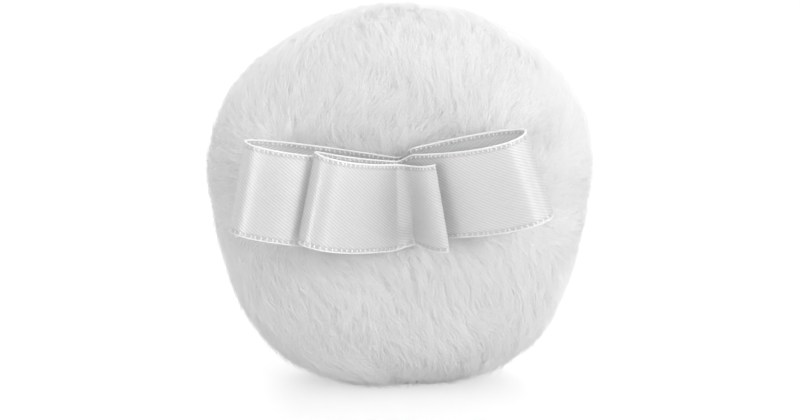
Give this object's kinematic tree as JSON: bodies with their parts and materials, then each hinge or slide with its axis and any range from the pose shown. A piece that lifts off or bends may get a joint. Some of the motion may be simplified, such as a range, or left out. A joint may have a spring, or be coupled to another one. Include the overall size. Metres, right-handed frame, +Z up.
{
  "type": "powder puff",
  "caption": "Round plush powder puff with deep pile, a soft filled pad and a folded satin ribbon bow tacked to its back as a grip.",
  "frame": {"origin": "middle of the flat at the bottom of the rim, on which the puff stands", "axes": "+Z up, -Y out of the back with the bow, +Y out of the powder face, +X to the right as seen from the bow side"},
  "size_m": [0.0839, 0.0567, 0.0849],
  "materials": {
    "plush": "deep white polyester pile",
    "filling": "soft fibre wadding",
    "satin": "satin weave ribbon with woven edges",
    "thread": "white sewing thread"
  },
  "bodies": {
    "puff": {"front_plush_panel": "plush", "back_plush_panel": "plush", "filling_core": "filling", "perimeter_seam_thread": "thread", "closing_stitch_thread": "thread"},
    "bow": {"ribbon_waist": "satin", "tack_thread": "thread"},
    "left_loop": {"left_loop": "satin"},
    "front_loop": {"front_loop": "satin"},
    "right_loop": {"right_loop": "satin"},
    "tail": {"ribbon_tail": "satin"}
  },
  "joints": [
    {"name": "bow_swivel", "type": "hinge", "parent": "puff", "child": "bow", "pos_m": [0.0009, -0.01906, 0.0455], "axis": [0, -1, 0], "range_deg": [-20, 20], "stiffness_Nm_per_rad": 0.005},
    {"name": "left_loop_swing", "type": "hinge", "parent": "bow", "child": "left_loop", "pos_m": [-0.00093, -0.02106, 0.0455], "axis": [0, 0, 1], "range_deg": [0, 16], "stiffness_Nm_per_rad": 0.001},
    {"name": "front_loop_swing", "type": "hinge", "parent": "left_loop", "child": "front_loop", "pos_m": [-0.00093, -0.02106, 0.0455], "axis": [0, 0, 1], "range_deg": [0, 6], "stiffness_Nm_per_rad": 0.001},
    {"name": "right_loop_swing", "type": "hinge", "parent": "bow", "child": "right_loop", "pos_m": [0.00272, -0.02106, 0.0455], "axis": [0, 0, -1], "range_deg": [0, 16], "stiffness_Nm_per_rad": 0.001},
    {"name": "tail_swing", "type": "hinge", "parent": "right_loop", "child": "tail", "pos_m": [0.00272, -0.02106, 0.0455], "axis": [0, 0, -1], "range_deg": [0, 5], "stiffness_Nm_per_rad": 0.001}
  ]
}
